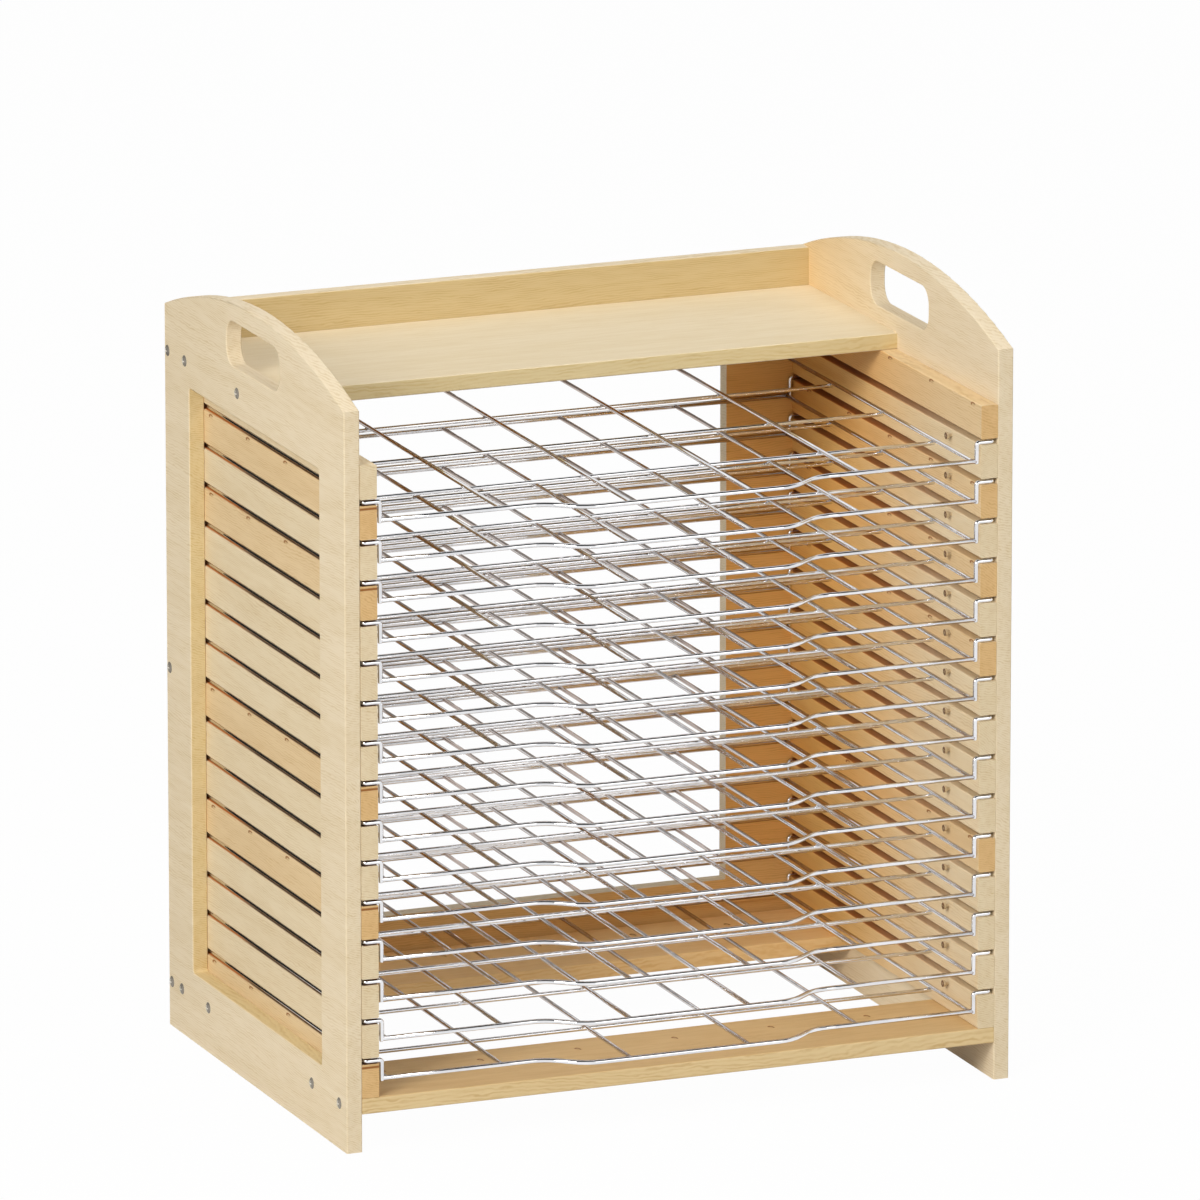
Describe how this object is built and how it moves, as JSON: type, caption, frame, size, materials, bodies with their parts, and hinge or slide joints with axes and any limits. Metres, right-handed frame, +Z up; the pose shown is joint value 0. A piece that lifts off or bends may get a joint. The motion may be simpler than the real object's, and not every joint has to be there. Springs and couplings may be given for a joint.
{
  "type": "art drying rack",
  "caption": "Wooden countertop rack with louvred sides, carry handles and a top shelf, holding a stack of sliding welded wire trays for drying flat artwork.",
  "frame": {"origin": "on the floor, under the middle of the whole rack with its trays pushed in, finger pulls and screw heads included", "axes": "+X to the right as seen from the front, +Y from the trays' finger pulls to the back panel, +Z up"},
  "size_m": [0.5212, 0.384, 0.58],
  "materials": {
    "pine_case": "smooth sanded pine with a thin clear satin coat",
    "pine_shelf": "smooth sanded pine with a thin clear satin coat",
    "pine_slat": "smooth sanded pine with a thin clear satin coat",
    "pine_slat_warm": "smooth sanded pine with a thin clear satin coat",
    "pine_board": "smooth sanded pine with a thin clear satin coat",
    "dowel_wood": "turned hardwood",
    "tray_wire": "bright plated steel wire",
    "screw_steel": "zinc plated steel, satin"
  },
  "bodies": {
    "case": {"left_side_panel": "pine_case", "right_side_panel": "pine_case", "back_panel": "pine_case", "top_shelf": "pine_shelf", "bottom_front_board": "pine_board", "bottom_rear_board": "pine_board", "left_slat_01": "pine_slat", "right_slat_01": "pine_slat_warm", "left_slat_02": "pine_slat_warm", "right_slat_02": "pine_slat", "left_slat_03": "pine_slat", "right_slat_03": "pine_slat_warm", "left_slat_04": "pine_slat_warm", "right_slat_04": "pine_slat", "left_slat_05": "pine_slat", "right_slat_05": "pine_slat_warm", "left_slat_06": "pine_slat", "right_slat_06": "pine_slat", "left_slat_07": "pine_slat", "right_slat_07": "pine_slat_warm", "left_slat_08": "pine_slat", "right_slat_08": "pine_slat", "left_slat_09": "pine_slat_warm", "right_slat_09": "pine_slat", "left_slat_10": "pine_slat", "right_slat_10": "pine_slat", "left_slat_11": "pine_slat", "right_slat_11": "pine_slat", "left_slat_12": "pine_slat_warm", "right_slat_12": "pine_slat_warm", "left_slat_13": "pine_slat", "right_slat_13": "pine_slat", "left_slat_14": "pine_slat", "right_slat_14": "pine_slat", "left_slat_15": "pine_slat", "right_slat_15": "pine_slat", "left_slat_16": "pine_slat_warm", "right_slat_16": "pine_slat", "case_screws": "screw_steel", "tray_stop_screws": "screw_steel", "left_slat_dowels": "dowel_wood", "right_slat_dowels": "dowel_wood"},
    "tray_01": {"tray_01": "tray_wire"},
    "tray_02": {"tray_02": "tray_wire"},
    "tray_03": {"tray_03": "tray_wire"},
    "tray_04": {"tray_04": "tray_wire"},
    "tray_05": {"tray_05": "tray_wire"},
    "tray_06": {"tray_06": "tray_wire"},
    "tray_07": {"tray_07": "tray_wire"},
    "tray_08": {"tray_08": "tray_wire"},
    "tray_09": {"tray_09": "tray_wire"},
    "tray_10": {"tray_10": "tray_wire"},
    "tray_11": {"tray_11": "tray_wire"},
    "tray_12": {"tray_12": "tray_wire"},
    "tray_13": {"tray_13": "tray_wire"},
    "tray_14": {"tray_14": "tray_wire"},
    "tray_15": {"tray_15": "tray_wire"}
  },
  "joints": [
    {"name": "tray_01_slide", "type": "slide", "parent": "case", "child": "tray_01", "axis": [0, -1, 0], "range_m": [0, 0.2912]},
    {"name": "tray_02_slide", "type": "slide", "parent": "case", "child": "tray_02", "axis": [0, -1, 0], "range_m": [0, 0.2912]},
    {"name": "tray_03_slide", "type": "slide", "parent": "case", "child": "tray_03", "axis": [0, -1, 0], "range_m": [0, 0.2912]},
    {"name": "tray_04_slide", "type": "slide", "parent": "case", "child": "tray_04", "axis": [0, -1, 0], "range_m": [0, 0.2912]},
    {"name": "tray_05_slide", "type": "slide", "parent": "case", "child": "tray_05", "axis": [0, -1, 0], "range_m": [0, 0.2912]},
    {"name": "tray_06_slide", "type": "slide", "parent": "case", "child": "tray_06", "axis": [0, -1, 0], "range_m": [0, 0.2912]},
    {"name": "tray_07_slide", "type": "slide", "parent": "case", "child": "tray_07", "axis": [0, -1, 0], "range_m": [0, 0.2912]},
    {"name": "tray_08_slide", "type": "slide", "parent": "case", "child": "tray_08", "axis": [0, -1, 0], "range_m": [0, 0.2912]},
    {"name": "tray_09_slide", "type": "slide", "parent": "case", "child": "tray_09", "axis": [0, -1, 0], "range_m": [0, 0.2912]},
    {"name": "tray_10_slide", "type": "slide", "parent": "case", "child": "tray_10", "axis": [0, -1, 0], "range_m": [0, 0.2912]},
    {"name": "tray_11_slide", "type": "slide", "parent": "case", "child": "tray_11", "axis": [0, -1, 0], "range_m": [0, 0.2912]},
    {"name": "tray_12_slide", "type": "slide", "parent": "case", "child": "tray_12", "axis": [0, -1, 0], "range_m": [0, 0.2912]},
    {"name": "tray_13_slide", "type": "slide", "parent": "case", "child": "tray_13", "axis": [0, -1, 0], "range_m": [0, 0.2912]},
    {"name": "tray_14_slide", "type": "slide", "parent": "case", "child": "tray_14", "axis": [0, -1, 0], "range_m": [0, 0.2912]},
    {"name": "tray_15_slide", "type": "slide", "parent": "case", "child": "tray_15", "axis": [0, -1, 0], "range_m": [0, 0.2912]}
  ]
}
